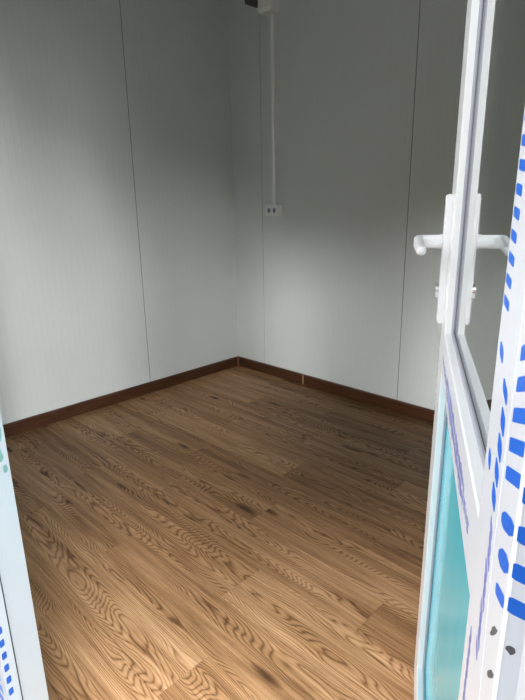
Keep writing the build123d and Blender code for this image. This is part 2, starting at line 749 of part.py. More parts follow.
nodes = {
    "base_long_rails": base_long_rails,
    "base_end_rails": base_end_rails,
    "floor_joists": floor_joists,
    "floor_board": floor_deck,
    "floor_planks": laminate,
    "corner_posts": corner_posts,
    "roof_long_rails": roof_long_rails,
    "roof_end_rails": roof_end_rails,
    "ceiling_panel": ceiling_panel,
    "roof_purlins": roof_purlins,
    "roof_sheet": roof_sheet,
    "lifting_eyes": lifting_eyes,
    "back_wall": back_wall,
    "left_wall": left_wall,
    "right_wall": right_wall,
    "front_wall_left": front_wall_left,
    "front_wall_right": front_wall_right,
    "front_wall_over_door": front_wall_over_door,
    "door_jamb_left": door_jamb_left,
    "door_jamb_right": door_jamb_right,
    "door_head": door_head,
    "door_threshold": door_threshold,
    "strike_plate": strike_plate,
    "frame_hinges": frame_hinges,
    "door_lock_stile": opened(door_lock_stile),
    "door_hinge_stile": opened(door_hinge_stile),
    "door_top_rail": opened(door_top_rail),
    "door_mid_rail": opened(door_mid_rail),
    "door_bottom_rail": opened(door_bottom_rail),
    "door_glass": door_glass,
    "door_glass_beads": door_glass_beads,
    "door_lower_panel": door_lower_panel,
    "door_panel_beads": door_panel_beads,
    "door_hinges": door_hinges,
    "handle_plates": handle_plates,
    "lock_cylinder": lock_cylinder,
    "lock_faceplate": lock_faceplate,
    "lever_handles": lever_handles,
    "skirting_back": skirting_back,
    "skirting_left": skirting_left,
    "skirting_right": skirting_right,
    "skirting_front": skirting_front,
    "skirting_clips": skirting_clips,
    "wall_socket": socket,
    "trunking": trunking,
    "distribution_box": distribution_box,
    "box_lid": box_lid,
}
for name, shape in nodes.items():
    export_step(shape, f"parts/{name}.step")
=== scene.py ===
# The looks of the portable site cabin: finishes of every solid, and the small pieces that lie on them.
# Metres, in the cabin's own frame: +X along the front wall, +Y towards the back wall, +Z up.
import json
import math
import random

import bmesh
import bpy
from mathutils import Matrix, Vector

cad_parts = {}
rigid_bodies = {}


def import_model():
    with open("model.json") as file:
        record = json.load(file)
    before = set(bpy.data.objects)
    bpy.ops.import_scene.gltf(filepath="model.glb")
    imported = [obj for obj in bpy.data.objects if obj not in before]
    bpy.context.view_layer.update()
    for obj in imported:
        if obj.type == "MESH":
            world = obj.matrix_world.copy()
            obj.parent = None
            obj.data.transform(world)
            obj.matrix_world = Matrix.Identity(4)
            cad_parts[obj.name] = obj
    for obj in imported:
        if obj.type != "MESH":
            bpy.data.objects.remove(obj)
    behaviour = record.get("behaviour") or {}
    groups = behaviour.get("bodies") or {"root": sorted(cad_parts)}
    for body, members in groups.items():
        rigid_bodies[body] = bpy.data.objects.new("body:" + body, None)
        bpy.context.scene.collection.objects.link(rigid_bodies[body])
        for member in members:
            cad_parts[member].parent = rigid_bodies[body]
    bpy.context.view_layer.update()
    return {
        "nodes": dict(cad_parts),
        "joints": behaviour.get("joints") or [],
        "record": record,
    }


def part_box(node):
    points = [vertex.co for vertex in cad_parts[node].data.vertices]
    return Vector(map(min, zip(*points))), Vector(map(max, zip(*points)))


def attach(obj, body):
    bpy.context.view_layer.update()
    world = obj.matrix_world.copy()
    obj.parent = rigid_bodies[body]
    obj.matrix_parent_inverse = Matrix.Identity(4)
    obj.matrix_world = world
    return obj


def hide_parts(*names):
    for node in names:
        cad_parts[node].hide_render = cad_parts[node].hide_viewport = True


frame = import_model()
draw = random.Random(7)

# Places taken from the solids
room_low = Vector((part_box("left_wall")[1].x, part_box("front_wall_left")[1].y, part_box("floor_planks")[1].z))
room_high = Vector((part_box("right_wall")[0].x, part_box("back_wall")[0].y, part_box("back_wall")[1].z))
joints = {joint["name"]: joint for joint in frame["joints"]}
hinge = Vector(joints["door_hinge"]["pos_m"])
leaf_angle = math.radians(-joints["door_hinge"]["range_deg"][0])

# Camera, solved from the lines of the room; yaw is to the right and pitch downwards, both in radians
CAMERA_PLACE = (1.1349, -1.3016, 1.2579)
CAMERA_YAW = -0.7823
CAMERA_PITCH = 0.2773
CAMERA_ROLL = 0.0175
CAMERA_LENS = 26.459
SENSOR_WIDTH = 36.0

# Floor boards, with each row's first butt joint from the left wall
BOARD_WIDTH = 0.157
BOARD_LENGTH = 0.975
FIRST_BOARD_WIDTH = 0.150
BOARD_OFFSETS = (0.44, 0.02, 0.575, 0.155, 0.695, 0.295, 0.825, 0.425, 0.015, 0.635, 0.20, 0.765, 0.325, 0.87)
BOARD_GAP = 0.0004
BOARD_BEVEL = 0.0006
SHORTEST_BOARD = 0.02

# Wall panels, with the places of their joints from the back left corner. The first joint of the back wall is pushed
# tighter together, to the share CLOSED_SEAM of a joint's width.
RIB_PITCH = 0.0333
PANEL_MODULE = 1.0
BACK_FIRST_JOINT = 0.262
SIDE_FIRST_JOINT = 0.731
SEAM_WIDTH = 0.0028
SEAM_DEPTH = 0.0016
SEAM_THICKNESS = 0.0008
CLOSED_SEAM = 0.45

# Door leaf, measured along it from its free edge and behind its outer face, as in the solids
OVERLAP = 0.010
STILE = 0.115
LEAF_WIDTH = 0.800
FRAME_STOP = 0.018
STOP_FACE = 0.049
PLATE_PROUD = 0.012
BARREL_PROUD = 0.018
CYLINDER_SETBACK = 0.046
CYLINDER_HEIGHT = 0.943
PLATE_SCREW_HEIGHTS = (0.897, 1.093)

# Thin plates stand proud of a surface by a negative depth, and their backs are sunk into it. The stile's film laps past
# its inner edge by FILM_LAP, and the leaf's films stop short of its ends by FILM_END.
SUNK = 0.0002
FILM = -0.0003
INK = FILM - 0.0002
CREASE = -0.00055
SCRAP = -0.0006
FILM_LAP = 0.0030
FILM_END = 0.004

# Wall socket
SOCKET_WELL_SPACING = 0.044
SOCKET_WELL_DEPTH = 0.015
PIN_SPACING = 0.019
CLIP_SETBACK = 0.0165

# Distribution box: the breakers stand side by side behind its lid
BREAKER_FACE = 0.074
BREAKER_PITCH = 0.0178
BREAKER_SHIFT = 0.002
TOGGLE_RISE = 0.006

# Roof screws, in the valleys of the roof sheet
ROOF_SCREWS = 11
ROOF_SCREW_PITCH = 0.25
ROOF_SHEET_THICKNESS = 0.002
PURLIN_EDGES = 4


class Finish:
    """A material that is put together from nodes. Values may be numbers, colours or sockets of other nodes."""

    def __init__(self, name, roughness=0.5, metallic=0.0):
        self.material = bpy.data.materials.new(name)
        self.material.use_nodes = True
        self.tree = self.material.node_tree
        self.skin = self.tree.nodes["Principled BSDF"]
        self.skin.inputs["Roughness"].default_value = roughness
        self.skin.inputs["Metallic"].default_value = metallic
        self.place = self.tree.nodes.new("ShaderNodeTexCoord").outputs["Object"]

    def feed(self, socket, value):
        """Links a socket to another, or gives it a plain value."""
        if isinstance(value, bpy.types.NodeSocket):
            self.tree.links.new(value, socket)
        elif isinstance(value, (tuple, list)) and len(value) == 3 and socket.type == "RGBA":
            socket.default_value = (*value, 1.0)
        else:
            socket.default_value = value

    def node(self, kind, inputs, **settings):
        """A shader node with its inputs fed and its settings made."""
        made = self.tree.nodes.new("ShaderNode" + kind)
        for name, value in settings.items():
            setattr(made, name, value)
        for name, value in inputs.items():
            self.feed(made.inputs[name], value)
        return made

    def set(self, name, value):
        """Feeds one input of the surface itself."""
        self.feed(self.skin.inputs[name], value)
        return self

    def sum(self, kind, *values):
        """The result of one sum of a Math node."""
        return self.node("Math", dict(enumerate(values)), operation=kind).outputs[0]

    def scaled(self, vector, scale):
        """A vector scaled along each axis."""
        return self.node("Mapping", {"Vector": vector, "Scale": scale}).outputs[0]

    def noise(self, vector, scale, detail=3.0, roughness=0.5, distortion=0.0):
        """Soft noise between 0 and 1, mostly between 0.3 and 0.7."""
        inputs = {"Vector": vector, "Scale": scale, "Detail": detail, "Roughness": roughness,
                  "Distortion": distortion}
        return self.node("TexNoise", inputs).outputs["Fac"]

    def remap(self, value, low, high, new_low=0.0, new_high=1.0):
        """A value carried from one range to another and kept within it."""
        inputs = {"Value": value, "From Min": low, "From Max": high, "To Min": new_low, "To Max": new_high}
        return self.node("MapRange", inputs).outputs[0]

    def ramp(self, value, stops):
        """A colour that runs through the stops, each a position and a colour."""
        made = self.node("ValToRGB", {"Fac": value})
        points = made.color_ramp.elements
        while len(points) < len(stops):
            points.new(0.5)
        for point, (position, color) in zip(points, stops):
            point.position = position
            point.color = (*color, 1.0)
        return made.outputs["Color"]

    def mix(self, share, first, second):
        """Two colours mixed; a Mix node's colours are its inputs 6 and 7 and its output 2."""
        made = self.node("Mix", {0: share}, data_type="RGBA")
        self.feed(made.inputs[6], first)
        self.feed(made.inputs[7], second)
        return made.outputs[2]

    def parts(self, vector):
        """The X, Y and Z of a vector."""
        made = self.node("SeparateXYZ", {"Vector": vector})
        return made.outputs[0], made.outputs[1], made.outputs[2]

    def join(self, x, y, z):
        """A vector out of X, Y and Z."""
        return self.node("CombineXYZ", {"X": x, "Y": y, "Z": z}).outputs[0]

    def bump(self, height, depth, strength=1.0):
        """Fine relief, depth metres high."""
        made = self.node("Bump", {"Height": height, "Distance": depth, "Strength": strength})
        self.feed(self.skin.inputs["Normal"], made.outputs[0])
        return self


def painted_panel(name, across):
    """Prepainted steel skin with shallow upright ribs, spaced along the axis across (0 for X, 1 for Y)."""
    finish = Finish(name, roughness=0.42)
    along = finish.parts(finish.place)[across]
    wave = finish.sum("SINE", finish.sum("MULTIPLY", along, 2 * math.pi / RIB_PITCH))
    rib = finish.sum("POWER", finish.remap(wave, -1.0, 1.0), 14.0)
    mottle = finish.noise(finish.place, 3.0, 4.0)
    peel = finish.noise(finish.place, 420.0, 2.0)
    color = finish.mix(finish.remap(mottle, 0.3, 0.7), (0.695, 0.735, 0.72), (0.725, 0.765, 0.75))
    # Painted shade: the colour is darkened along the rib grooves, which the bump below also sinks.
    finish.set("Base Color", finish.mix(finish.sum("MULTIPLY", rib, 0.06), color, (0.55, 0.55, 0.53)))
    finish.set("Roughness", finish.remap(peel, 0.3, 0.7, 0.38, 0.46))
    height = finish.sum("ADD", finish.sum("MULTIPLY", rib, -1.0), finish.sum("MULTIPLY", peel, 0.05))
    return finish.bump(height, 0.0006).material


def plank_wood():
    """Oak-patterned floor boards: growth lines that bend round slow waves, pores, knots and a tint for each board."""
    finish = Finish("floor_oak", roughness=0.42)
    seed = finish.node("Attribute", {}, attribute_name="board").outputs["Fac"]
    x, y, _ = finish.parts(finish.place)
    shifted = finish.join(finish.sum("MULTIPLY_ADD", seed, 37.0, x), finish.sum("MULTIPLY_ADD", seed, 11.0, y), seed)
    slow = finish.noise(finish.scaled(shifted, (1.3, 7.0, 1.0)), 1.0, 1.5, 0.45)
    sway = finish.noise(finish.scaled(shifted, (3.5, 16.0, 1.0)), 1.0, 2.0, 0.5)
    level = finish.sum("MULTIPLY_ADD", slow, 0.42, finish.parts(shifted)[1])
    level = finish.sum("MULTIPLY_ADD", sway, 0.05, level)
    lines = finish.sum("FRACT", finish.sum("MULTIPLY", level, 135.0))
    lines = finish.sum("POWER", finish.sum("ABSOLUTE", finish.remap(lines, 0.0, 1.0, -1.0, 1.0)), 2.6)
    streaks = finish.noise(finish.scaled(shifted, (5.0, 210.0, 1.0)), 1.0, 4.0, 0.6)
    bands = finish.noise(finish.scaled(shifted, (1.6, 26.0, 1.0)), 1.0, 3.0, 0.6)
    pores = finish.noise(finish.scaled(shifted, (28.0, 900.0, 1.0)), 1.0, 2.0, 0.5)
    tone = finish.sum("MULTIPLY_ADD", lines, -0.36, finish.sum("MULTIPLY_ADD", streaks, 0.75, 0.23))
    tone = finish.sum("MULTIPLY_ADD", finish.remap(bands, 0.3, 0.7), 0.30, finish.sum("SUBTRACT", tone, 0.12))
    tone = finish.sum("MULTIPLY_ADD", finish.remap(seed, 0.0, 1.0, -0.5, 0.5), 0.16, tone)
    knots = finish.node("TexVoronoi", {"Vector": finish.scaled(shifted, (2.1, 8.5, 1.0)), "Scale": 1.0})
    knot = finish.remap(knots.outputs["Distance"], 0.02, 0.13, 1.0, 0.0)
    tone = finish.sum("MULTIPLY_ADD", knot, -0.5, tone)
    tone = finish.sum("MULTIPLY_ADD", finish.remap(pores, 0.58, 0.75), -0.22, tone)
    color = finish.ramp(tone, [
        (0.05, (0.050, 0.022, 0.009)), (0.32, (0.155, 0.076, 0.031)), (0.55, (0.31, 0.168, 0.078)),
        (0.78, (0.46, 0.275, 0.145)), (1.0, (0.62, 0.41, 0.24)),
    ])
    finish.set("Base Color", color)
    finish.set("Roughness", finish.remap(tone, 0.2, 0.8, 0.55, 0.44))
    finish.set("Specular IOR Level", 0.3)
    return finish.bump(tone, 0.0006, 0.7).material


def dark_wood():
    """Dark walnut-patterned skirting."""
    finish = Finish("skirting_walnut", roughness=0.38)
    x, y, z = finish.parts(finish.place)
    along, up = finish.sum("MULTIPLY", finish.sum("ADD", x, y), 6.0), finish.sum("MULTIPLY", z, 160.0)
    grain = finish.noise(finish.join(along, 0.0, up), 1.0, 4.0, 0.6)
    finish.set("Base Color", finish.ramp(grain, [
        (0.3, (0.030, 0.010, 0.004)), (0.55, (0.075, 0.028, 0.012)), (0.75, (0.13, 0.055, 0.026)),
    ]))
    return finish.bump(grain, 0.0003).material


def plastic(name, color, roughness=0.3, mottle=0.03):
    """Moulded or extruded plastic with a faint cloudiness and a fine surface."""
    finish = Finish(name, roughness=roughness)
    cloud = finish.remap(finish.noise(finish.place, 9.0, 4.0), 0.3, 0.7)
    darker = tuple(c * (1 - mottle) for c in color)
    finish.set("Base Color", finish.mix(cloud, color, darker))
    fine = finish.noise(finish.place, 700.0, 2.0)
    finish.set("Roughness", finish.remap(fine, 0.3, 0.7, roughness * 0.85, roughness * 1.15))
    return finish.bump(fine, 0.00003).material


def metal(name, color, roughness, metallic, spangle=0.0):
    """Metal with fine scratches, and with zinc spangles where asked for."""
    finish = Finish(name, roughness=roughness, metallic=metallic)
    cells = finish.node("TexVoronoi", {"Vector": finish.place, "Scale": 60.0}).outputs["Color"]
    shade = finish.parts(cells)[0]
    cloud = finish.noise(finish.place, 6.0, 5.0)
    share = finish.sum("ADD", finish.sum("MULTIPLY", shade, spangle), finish.sum("MULTIPLY", cloud, 0.15))
    finish.set("Base Color", finish.mix(share, color, tuple(c * 0.7 for c in color)))
    finish.set("Roughness", finish.remap(cloud, 0.3, 0.7, roughness * 0.8, roughness * 1.25))
    return finish.bump(finish.noise(finish.place, 300.0, 3.0), 0.00005).material


def painted_steel():
    """Blue-grey frame paint with orange peel and dust towards the ground."""
    finish = Finish("frame_paint", roughness=0.4)
    z = finish.parts(finish.place)[2]
    cloud = finish.noise(finish.place, 5.0, 5.0)
    base = finish.mix(finish.remap(cloud, 0.3, 0.7), (0.105, 0.125, 0.145), (0.125, 0.147, 0.17))
    dust = finish.sum("MULTIPLY", finish.remap(z, 0.0, 0.12, 0.35, 0.0), cloud)
    finish.set("Base Color", finish.mix(dust, base, (0.36, 0.33, 0.28)))
    finish.set("Roughness", finish.remap(cloud, 0.3, 0.7, 0.34, 0.5))
    return finish.bump(finish.noise(finish.place, 260.0, 2.0), 0.0002).material


def glazing():
    """Clear pane: a mirror that is see-through except at grazing angles."""
    finish = Finish("window_glass", roughness=0.02, metallic=1.0)
    smear = finish.noise(finish.place, 14.0, 4.0)
    finish.set("Base Color", finish.mix(smear, (0.86, 0.90, 0.88), (0.80, 0.86, 0.84)))
    fresnel = finish.node("Fresnel", {"IOR": 1.5}).outputs[0]
    finish.set("Alpha", finish.remap(fresnel, 0.04, 0.22, 0.13, 0.85))
    return finish.material


def smoked():
    """Smoked clear plastic of the distribution box lid."""
    finish = Finish("smoked_plastic", roughness=0.12)
    cloud = finish.noise(finish.place, 20.0, 3.0)
    finish.set("Base Color", finish.mix(cloud, (0.035, 0.034, 0.034), (0.05, 0.048, 0.048)))
    finish.set("Alpha", 0.82)
    return finish.material


def film_panel():
    """Glossy turquoise protective film on the lower door panel, with faint creases."""
    finish = Finish("turquoise_film", roughness=0.16)
    crease = finish.noise(finish.scaled(finish.place, (9.0, 9.0, 3.0)), 1.0, 4.0, 0.55, 0.6)
    color = finish.mix(finish.remap(crease, 0.3, 0.7), (0.055, 0.61, 0.75), (0.075, 0.65, 0.79))
    finish.set("Base Color", color).set("Specular IOR Level", 0.25)
    finish.set("Coat Weight", 0.2).set("Coat Roughness", 0.05).set("Coat IOR", 1.5)
    return finish.bump(crease, 0.0006, 0.25).material


def film_sheet():
    """White protective film with faint violet streaks where it has lifted."""
    finish = Finish("white_film", roughness=0.24)
    streak = finish.noise(finish.scaled(finish.place, (90.0, 90.0, 5.0)), 1.0, 3.0, 0.6)
    share = finish.remap(streak, 0.55, 0.75, 0.0, 0.4)
    finish.set("Base Color", finish.mix(share, (0.79, 0.82, 0.88), (0.70, 0.70, 0.80)))
    folds = finish.noise(finish.scaled(finish.place, (40.0, 40.0, 12.0)), 1.0, 3.0)
    return finish.bump(folds, 0.0004, 0.5).material


def skirting_joint():
    """Tan joiner on the back wall and reddish connectors in the corners."""
    finish = Finish("skirting_joints", roughness=0.42)
    x = finish.parts(finish.place)[0]
    near_corner = room_high.x - 0.1
    in_corner = finish.sum("GREATER_THAN", finish.sum("ABSOLUTE", x), near_corner)
    tone = finish.noise(finish.scaled(finish.place, (80.0, 80.0, 12.0)), 1.0, 3.0)
    tan = finish.mix(tone, (0.42, 0.27, 0.16), (0.33, 0.20, 0.11))
    red = finish.mix(tone, (0.24, 0.085, 0.045), (0.17, 0.06, 0.03))
    finish.set("Base Color", finish.mix(in_corner, tan, red))
    return finish.bump(tone, 0.0002).material


materials = {
    "panel_x": painted_panel("panel_skin_x", 0),
    "panel_y": painted_panel("panel_skin_y", 1),
    "frame": painted_steel(),
    "zinc": metal("galvanised", (0.42, 0.44, 0.45), 0.5, 0.6, 0.5),
    "deck": plastic("floor_board_ply", (0.36, 0.26, 0.16), 0.7, 0.3),
    "oak": plank_wood(),
    "walnut": dark_wood(),
    "profile": plastic("white_profile", (0.80, 0.82, 0.87), 0.24),
    "leaf_profile": plastic("leaf_profile", (0.82, 0.83, 0.85), 0.24),
    "sill": metal("aluminium_sill", (0.72, 0.73, 0.74), 0.35, 0.9),
    "glass": glazing(),
    "film": film_panel(),
    # Film on the panel beads, lightened to pale teal as a painted reflection of the leaf's white lip.
    "bead_film_and_reflection": plastic("bead_film_painted_reflection", (0.50, 0.74, 0.76), 0.3),
    "furniture": plastic("white_furniture", (0.80, 0.81, 0.83), 0.28),
    "chrome": metal("chrome_barrel", (0.78, 0.78, 0.78), 0.14, 1.0),
    "steel": metal("brushed_steel", (0.62, 0.62, 0.61), 0.3, 1.0),
    "fitting": plastic("white_fitting", (0.86, 0.86, 0.83), 0.4),
    "lid": smoked(),
    "joiner": skirting_joint(),
    "gasket": plastic("grey_gasket", (0.40, 0.41, 0.48), 0.5, 0.12),
    # Dark rubber of the frame seal and roof washers, also the socket's dark screws; the same finish is painted shade on
    # the gasket's contact line, in the key slits and in the socket's pin holes.
    "rubber_and_shade": plastic("dark_rubber_and_shade", (0.030, 0.032, 0.042), 0.6, 0.2),
    "seam": plastic("joint_shadow", (0.10, 0.10, 0.09), 0.8, 0.2),
    "white_film": film_sheet(),
    "blue_print": plastic("blue_print", (0.013, 0.156, 0.75), 0.35, 0.12),
    "faded_print": plastic("faded_print", (0.24, 0.27, 0.60), 0.4, 0.45),
    "smudge": plastic("smudge", (0.11, 0.11, 0.12), 0.7, 0.4),
    "tatter": plastic("film_scrap", (0.36, 0.37, 0.36), 0.4, 0.5),
    "teal_scrap": plastic("teal_scrap", (0.36, 0.68, 0.62), 0.35, 0.35),
    "well_blue": plastic("socket_insert", (0.26, 0.31, 0.44), 0.45, 0.1),
    "toggle": plastic("breaker_toggle", (0.05, 0.05, 0.055), 0.4, 0.1),
}
# A solid's finish goes by its name, or else by its material slot
NODE_FINISH = {
    "back_wall": "panel_x", "front_wall_left": "panel_x", "front_wall_right": "panel_x",
    "front_wall_over_door": "panel_x", "ceiling_panel": "panel_x", "left_wall": "panel_y", "right_wall": "panel_y",
    "floor_board": "deck", "floor_planks": "oak", "floor_joists": "zinc", "roof_purlins": "zinc",
    "roof_sheet": "zinc", "skirting_clips": "joiner", "box_lid": "lid",
    "door_threshold": "sill", "door_glass": "glass", "door_lower_panel": "film", "door_panel_beads": "bead_film_and_reflection",
    "door_lock_stile": "leaf_profile", "door_bottom_rail": "leaf_profile", "lock_cylinder": "chrome",
}
SLOT_FINISH = {
    "frame_paint": "frame", "white_profile": "profile", "white_furniture": "furniture",
    "dark_skirting": "walnut", "white_fitting": "fitting", "lock_steel": "steel",
}
slots = {entry["node"]: entry["material_slot"] for entry in frame["record"]["subparts"]}
for name, node in frame["nodes"].items():
    choice = NODE_FINISH.get(name) or SLOT_FINISH[slots[name]]
    node.data.materials.clear()
    node.data.materials.append(materials[choice])


def piece(name, points, faces, finish, body="cabin"):
    """A mesh piece of the cabin that rides on a body; the door's own pieces are noted for its lamps."""
    mesh = bpy.data.meshes.new(name)
    mesh.from_pydata([tuple(point) for point in points], [], faces)
    shell = bmesh.new()
    shell.from_mesh(mesh)
    bmesh.ops.recalc_face_normals(shell, faces=shell.faces)
    shell.to_mesh(mesh)
    shell.free()
    mesh.materials.append(materials[finish])
    made = bpy.data.objects.new(name, mesh)
    bpy.context.scene.collection.objects.link(made)
    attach(made, body)
    made["lit_as_door"] = body == "door"
    return made


def floor_boards():
    """Boards along X in rows from the back wall, each with eased top edges and its own grain."""
    low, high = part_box("floor_planks")
    points, faces, seeds = [], [], []
    row_high = high.y
    for row, offset in enumerate(BOARD_OFFSETS):
        row_low = max(low.y, row_high - (FIRST_BOARD_WIDTH if row == 0 else BOARD_WIDTH))
        cuts = [low.x]
        joint = low.x + offset
        while joint < high.x:
            if joint > low.x + SHORTEST_BOARD:
                cuts.append(joint)
            joint += BOARD_LENGTH
        cuts.append(high.x)
        for start, end in zip(cuts, cuts[1:]):
            first = len(points)
            gap = BOARD_GAP / 2
            for inset, z in ((0, low.z), (0, high.z - BOARD_BEVEL), (BOARD_BEVEL, high.z)):
                x0, x1 = start + gap + inset, end - gap - inset
                y0, y1 = row_low + gap + inset, row_high - gap - inset
                points += [(x0, y0, z), (x1, y0, z), (x1, y1, z), (x0, y1, z)]
            faces.append([first + 3, first + 2, first + 1, first])
            faces.append([first + 8, first + 9, first + 10, first + 11])
            for ring in (first, first + 4):
                for i in range(4):
                    j = (i + 1) % 4
                    faces.append([ring + i, ring + j, ring + 4 + j, ring + 4 + i])
            seeds += [draw.random()] * 12
        row_high = row_low
        if row_high <= low.y:
            break
    boards = piece("floor_boards", points, faces, "oak")
    attribute = boards.data.attributes.new("board", "FLOAT", "POINT")
    attribute.data.foreach_set("value", seeds)
    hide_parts("floor_planks")


floor_boards()


def turn(point, angle):
    """A point turned about the door's hinge line."""
    return hinge + Matrix.Rotation(angle, 3, "Z") @ (Vector(point) - hinge)


def shut_box(node):
    """Lowest and highest corners of one of the leaf's solids with the door shut."""
    corners = [turn(vertex.co, leaf_angle) for vertex in frame["nodes"][node].data.vertices]
    return Vector(map(min, zip(*corners))), Vector(map(max, zip(*corners)))


stile_low, stile_high = shut_box("door_lock_stile")
rail_low, rail_high = (corner.z - room_low.z for corner in shut_box("door_mid_rail"))
leaf_edge, leaf_outer = stile_low.x + OVERLAP, stile_low.y
leaf_depth = stile_high.y - stile_low.y
leaf_foot, leaf_top = stile_low.z + OVERLAP - room_low.z, stile_high.z - OVERLAP - room_low.z
glass_depth = shut_box("door_glass")[0].y - leaf_outer
jamb_low, jamb_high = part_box("door_jamb_left")
rebate_left = jamb_high.x - FRAME_STOP
rebate_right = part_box("door_jamb_right")[0].x + FRAME_STOP
rebate_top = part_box("door_head")[0].z + FRAME_STOP
stop_y = room_low.y - STOP_FACE


def on_leaf(along, depth, height):
    """A point of the open leaf: along it from its free edge, behind its outer face and above the floor."""
    return turn((leaf_edge + along, leaf_outer + depth, room_low.z + height), -leaf_angle)


def on_leaf_edge(depth, proud, height):
    """A point of the open leaf's hinge-side edge; a negative depth, here called proud, stands out of it."""
    return on_leaf(LEAF_WIDTH - proud, depth, height)


def on_stop(along, proud, height):
    """A point of the left stop's side, along it from the jamb's outer face."""
    return Vector((jamb_high.x - proud, jamb_low.y + along, room_low.z + height))


def on_rebate(along, proud, height):
    """A point of the left rebate face, along it outwards from the wall's inner face."""
    return Vector((rebate_left - proud, room_low.y - along, room_low.z + height))


def on_frame_front(along, proud, height):
    """A point of the left jamb's outer face, along it from the opening's edge."""
    return Vector((jamb_high.x - along, jamb_low.y + proud, room_low.z + height))


def slabs(name, outlines, low, high, finish, place, body="cabin"):
    """Thin plates between two depths; place turns an outline's point and a depth into a point of the cabin."""
    points, faces = [], []
    for outline in outlines:
        first, count = len(points), len(outline)
        for depth in (low, high):
            points += [place(a, depth, b) for a, b in outline]
        faces.append([first + i for i in range(count)])
        faces.append([first + count + i for i in reversed(range(count))])
        for i in range(count):
            j = (i + 1) % count
            faces.append([first + i, first + count + i, first + count + j, first + j])
    return piece(name, points, faces, finish, body)


def disc(centre, radius, count=20):
    """Outline of a disc."""
    steps = [2 * math.pi * i / count for i in range(count)]
    return [(centre[0] + radius * math.cos(t), centre[1] + radius * math.sin(t)) for t in steps]


def skewed(centre, width, height, skew, cut=0.25):
    """Outline of a printed block: a leaning rectangle with its corners cut."""
    (a, b), w, h = centre, width / 2, height / 2
    corners = [(-w, h * (1 - cut)), (-w * (1 - cut), h), (w * (1 - cut), h), (w, h * (1 - cut)),
               (w, -h * (1 - cut)), (w * (1 - cut), -h), (-w * (1 - cut), -h), (-w, -h * (1 - cut))]
    return [(a + x, b + y + skew * x) for x, y in corners]


def scrap(centre, width, height, skew=0.0):
    """Outline of a torn scrap."""
    points, count = [], 9
    for i in range(count):
        t = 2 * math.pi * i / count
        reach = draw.uniform(0.55, 1.0)
        x, y = width / 2 * reach * math.cos(t), height / 2 * reach * math.sin(t)
        points.append((centre[0] + x, centre[1] + y + skew * x))
    return points


def leaf_ring(name, opening, section, finish):
    """A mitred ring round one opening of the leaf; section holds points inwards from its edge and behind the face."""
    left, right, low, high = opening
    points, faces, count = [], [], len(section)
    for inset, depth in section:
        corners = ((left + inset, low + inset), (right - inset, low + inset), (right - inset, high - inset),
                   (left + inset, high - inset))
        points += [on_leaf(a, depth, b) for a, b in corners]
    for i in range(count):
        j = (i + 1) % count
        faces += [[4 * i + k, 4 * i + (k + 1) % 4, 4 * j + (k + 1) % 4, 4 * j + k] for k in range(4)]
    return piece(name, points, faces, finish, "door")


def gaskets():
    """Grey gasket that bulges from under the lip onto the glass or panel, and a thin dark ring along its foot, painted
    as the shadow of the contact line.
    """
    bulge = [(-0.0004, 0.0108), (0.0008, 0.0111), (0.0017, 0.0121), (0.0020, 0.0135), (0.0016, 0.0149),
             (0.0010, glass_depth - 0.0003), (-0.0004, glass_depth - 0.0003)]
    # A dark ring just in front of the glass or panel: painted shadow where the gasket meets it.
    contact_shadow = [(0.0002, glass_depth - 0.0004), (0.0016, glass_depth - 0.0004), (0.0016, glass_depth - 0.0001),
            (0.0002, glass_depth - 0.0001)]
    right = LEAF_WIDTH - STILE
    openings = {
        "glass": (STILE, right, rail_high, leaf_top - STILE),
        "panel": (STILE, right, leaf_foot + STILE, rail_low),
    }
    for name, opening in openings.items():
        leaf_ring(name + "_gasket", opening, bulge, "gasket")
        leaf_ring(name + "_gasket_heel", opening, contact_shadow, "rubber_and_shade")


def frame_seal():
    """Rubber seal in the groove of the frame's stop, up one jamb, along the head and down the other."""
    section = [(0.0123, -0.0026), (0.0147, -0.0026), (0.0147, 0.0004), (0.0162, 0.0012), (0.0158, 0.0024),
               (0.0135, 0.0028), (0.0112, 0.0024), (0.0108, 0.0012), (0.0123, 0.0004)]
    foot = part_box("door_threshold")[1].z
    points, faces, count = [], [], len(section)
    for inset, y in section:
        left, right, top = rebate_left + inset, rebate_right - inset, rebate_top - inset
        stations = ((left, foot), (left, top), (right, top), (right, foot))
        points += [(x, stop_y + y, z) for x, z in stations]
    for i in range(count):
        j = (i + 1) % count
        faces += [[4 * i + k, 4 * i + k + 1, 4 * j + k + 1, 4 * j + k] for k in range(3)]
    faces.append([4 * i for i in range(count)])
    faces.append([4 * i + 3 for i in reversed(range(count))])
    piece("frame_seal", points, faces, "rubber_and_shade")


def column(along, top, step, count, width, height, lean, cut=0.25, stagger=0.0, cycle=1):
    """Outlines of printed blocks one below the other."""
    return [skewed((along + stagger * (i % cycle), top - step * i), width, height, lean, cut) for i in range(count)]


def door_slabs(name, outlines, low, high, finish, place=on_leaf):
    """Thin plates on the door's white profiles."""
    slabs(name, outlines, low, high, finish, place, "door")


def frame_slabs(name, outlines, low, high, finish, place):
    """Thin plates on the frame's white profiles."""
    slabs(name, outlines, low, high, finish, place)


